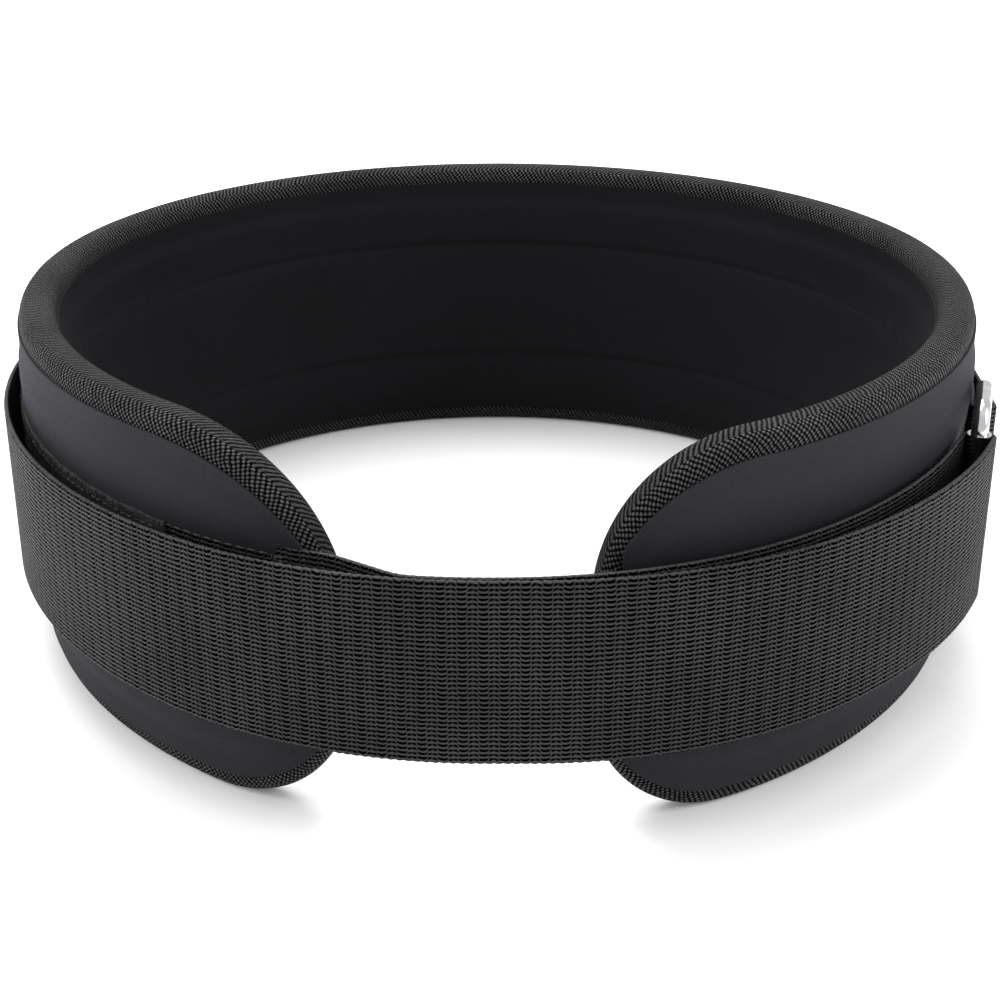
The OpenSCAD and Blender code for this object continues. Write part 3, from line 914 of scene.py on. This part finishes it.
def box_path(s_low, s_high, z_low, z_high, cross):
    """A rectangle's outline, in steps of about a millimetre, with a cross in it if that is wanted."""
    corners = [(s_low, z_low), (s_high, z_low), (s_high, z_high), (s_low, z_high), (s_low, z_low)]
    if cross:
        corners += [(s_high, z_high), (s_high, z_low), (s_low, z_high)]
    path = []
    for (a, b), (c, d) in zip(corners[:-1], corners[1:]):
        count = max(2, int(np.hypot(c - a, d - b) / MM))
        path += [(a + (c - a) * i / count, b + (d - b) * i / count) for i in range(count)]
    return np.array(path + [corners[-1]])


def boxed(name, line, s_low, s_high, z_low, z_high, out, cross=False, body="belt"):
    path = box_path(s_low, s_high, z_low, z_high, cross)
    path, ups = on_line(line, path[:, 0], path[:, 1], out)
    return seam(name, path, ups, 3.0 * MM, 2.5 * MM, 0.55 * MM, body=body)


def boxed_round(name, line, width, out):
    """A box of stitches a little way in from all four sides of a patch of a given width."""
    low, high = PAD_H / 2 - width / 2 + SEAM_IN, PAD_H / 2 + width / 2 - SEAM_IN
    return boxed(name, line, SEAM_IN, line.length - SEAM_IN, low, high, out)


chape_top = line_at(bearings(CHAPE_FROM, CHAPE_JOIN), 3 * WEB_T)
made = boxed("chape_box_thread", chape_top, SEAM_IN, chape_top.length - 4 * MM, SEAM_LOW, SEAM_UP,
             0.1 * MM, cross=True)
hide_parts("chape_box_stitch")

# %% [markdown]
# ## Loop tape and hook tape
# The tail closes on a patch of loop pile sewn to the webbing. The pile is a cloth back with a dense
# nap of small arches, and the hook tape is a moulded back with rows of little stems.

# %% Loop tape
LOOP_W = WEB_W - 3 * MM
loop_bearings = bearings(-141.5, -50.4)
loop_line = line_at(loop_bearings, WEB_T + 0.5 * MM)
loop_back = strap("loop_tape", loop_line, width=LOOP_W, thick=1.0 * MM, step=2 * MM)
finish_piece(loop_back, "loop")
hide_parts("loop_patch")
loop_face = line_at(loop_bearings, WEB_T + 1.0 * MM)

# One arch of pile is a thin rod with three sides, bent in four stretches into half a circle that is
# one unit wide.
ARCH_SIDES, ARCH_STRETCHES, ARCH_THICK = 3, 4, 0.10
arch_points, arch_faces = [], []
for turn in np.linspace(0, np.pi, ARCH_STRETCHES + 1):
    for side in range(ARCH_SIDES):
        spin = side * 2 * np.pi / ARCH_SIDES
        reach = 0.5 + ARCH_THICK * np.cos(spin)
        arch_points.append((np.cos(turn) * reach, ARCH_THICK * np.sin(spin), np.sin(turn) * reach))
for ring in range(ARCH_STRETCHES):
    for side in range(ARCH_SIDES):
        a, b = ring * ARCH_SIDES + side, ring * ARCH_SIDES + (side + 1) % ARCH_SIDES
        arch_faces.append((a, b, b + ARCH_SIDES, a + ARCH_SIDES))
arch_points = np.array(arch_points)

# The nap is denser along the tape's two sides, where it shows.
PILE, PILE_IN, NEAR_SIDE = 5200, 0.5 * MM, 0.35
rng = np.random.default_rng(5)
s = rng.uniform(PILE_IN, loop_face.length - PILE_IN, PILE)
up_from_middle = rng.uniform(-LOOP_W / 2 + PILE_IN, LOOP_W / 2 - PILE_IN, PILE)
z = PAD_H / 2 + up_from_middle
near = rng.random(PILE) < NEAR_SIDE
from_side = LOOP_W / 2 - rng.uniform(0.1 * MM, 2.5 * MM, PILE)
z = np.where(near, PAD_H / 2 + np.sign(z - PAD_H / 2) * from_side, z)
places, ups = on_line(loop_face, s, z, -0.05 * MM)
runs = rng.normal(size=(PILE, 3))
ranges = ((0.8, 1.5), (0.8, 1.1), (0.5, 0.9))
sizes = np.column_stack([rng.uniform(*limits, PILE) for limits in ranges]) * MM
pile = copies("loop_pile", arch_points, arch_faces, places, np.cross(ups, runs), ups, sizes)
finish_piece(pile, "loop", angle=80)
made = boxed_round("loop_tape_thread", loop_face, LOOP_W, 0.15 * MM)
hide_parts("loop_patch_seam")

# %% Hook tape, and the tail's stitching
STEM = [0.9 * MM, 1.6 * MM, 0.9 * MM]
STEM_PITCH, STEM_ROW = 1.9 * MM, 1.7 * MM
hook_bearings = bearings(360 - 90, 360 - 63 + 0.01)
hook_line = line_at(hook_bearings, OUTER_OFF - 0.3 * MM, -TAIL_LIFT, BOW)
hook_back = strap("hook_tape", hook_line, width=LOOP_W, thick=0.5 * MM, step=2 * MM)
finish_piece(hook_back, "hook", body="tail")
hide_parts("hook_patch")
s, z = np.meshgrid(np.arange(1.5 * MM, hook_line.length - 1 * MM, STEM_PITCH),
                   np.arange(-LOOP_W / 2 + 1.5 * MM, LOOP_W / 2 - 1 * MM, STEM_ROW))
s, z = s.ravel(), z.ravel() + PAD_H / 2
places, ups = on_line(hook_line, s, z, -0.2 * MM)
runs = np.column_stack([hook_line.at(s, hook_line.run), np.zeros(len(s))])
hooks = copies("hook_stems", arch_points, arch_faces, places, runs, -ups, np.tile(STEM, (len(s), 1)))
finish_piece(hooks, "hook", body="tail", angle=80)
tail_face = line_at(hook_bearings, OUTER_OFF + WEB_T, -TAIL_LIFT, BOW)
made = boxed("tail_thread", tail_face, SEAM_IN, tail_face.length - 1.5 * MM, SEAM_LOW, SEAM_UP,
             0.02 * MM, body="tail")
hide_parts("hook_patch_seam")

# %% Wear patch
WEAR_W = WEB_W + 26 * MM
wear_bearings = bearings(106.8, 129.0)
wear_line = line_at(wear_bearings, 0.55 * MM)
wear = strap("wear_patch_tape", wear_line, width=WEAR_W, thick=0.9 * MM, step=1.5 * MM)
finish_piece(wear, "binding")
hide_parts("wear_patch")
wear_face = line_at(wear_bearings, 1.0 * MM)
made = boxed_round("wear_patch_thread", wear_face, WEAR_W, 0.02 * MM)
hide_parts("wear_patch_seam")

# %% [markdown]
# ## Buckle
# The frame is a rod bent into a rectangle and plated, and the roller is a tube on its front bar.
# Both CAD shapes are already right, so they keep their shapes and take the polished finish.

# %% Buckle finish
for name in ("buckle_frame", "buckle_roller"):
    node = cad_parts[name]
    dress(node, "metal")
    select_only(node)
    bpy.ops.object.shade_smooth_by_angle(angle=np.radians(40))

# %% [markdown]
# ## Floor and light
# A pale floor that runs out of sight, an even white sky, and three broad soft lamps: one above and
# behind, one at each side, as in a small product studio.

# %% Floor and lamps
bpy.ops.object.select_all(action="DESELECT")
bpy.ops.mesh.primitive_plane_add(size=12.0, location=(0, 0, 0))
floor = bpy.context.object
floor.name = "floor"
floor_finish, _, floor_shader = new_finish("floor")
floor_shader.inputs["Base Color"].default_value = (0.93, 0.93, 0.93, 1)
floor_shader.inputs["Roughness"].default_value = 0.9
floor_shader.inputs["Specular IOR Level"].default_value = 0.1
floor.data.materials.append(floor_finish)

world = bpy.data.worlds.new("studio")
bpy.context.scene.world = world
world.use_nodes = True
background = next(n for n in world.node_tree.nodes if n.type == "BACKGROUND")
background.inputs["Color"].default_value = (1.0, 1.0, 1.0, 1)
background.inputs["Strength"].default_value = 1.0


def soft_lamp(name, place, target, size, power):
    lamp_data = bpy.data.lights.new(name, "AREA")
    lamp_data.shape = "RECTANGLE"
    lamp_data.size, lamp_data.size_y = size
    lamp_data.energy = power
    lamp = bpy.data.objects.new(name, lamp_data)
    bpy.context.collection.objects.link(lamp)
    lamp.location = place
    lamp.rotation_euler = (Vector(target) - Vector(place)).to_track_quat("-Z", "Y").to_euler()


soft_lamp("lamp_above", (-0.2, 0.6, 1.4), (0, 0, 0.05), (1.4, 1.2), 28)
soft_lamp("lamp_left", (-1.3, -0.3, 0.7), (0, -0.1, 0.05), (0.7, 0.9), 11)
soft_lamp("lamp_right", (1.3, -0.4, 0.7), (0, -0.1, 0.05), (0.7, 0.9), 12)
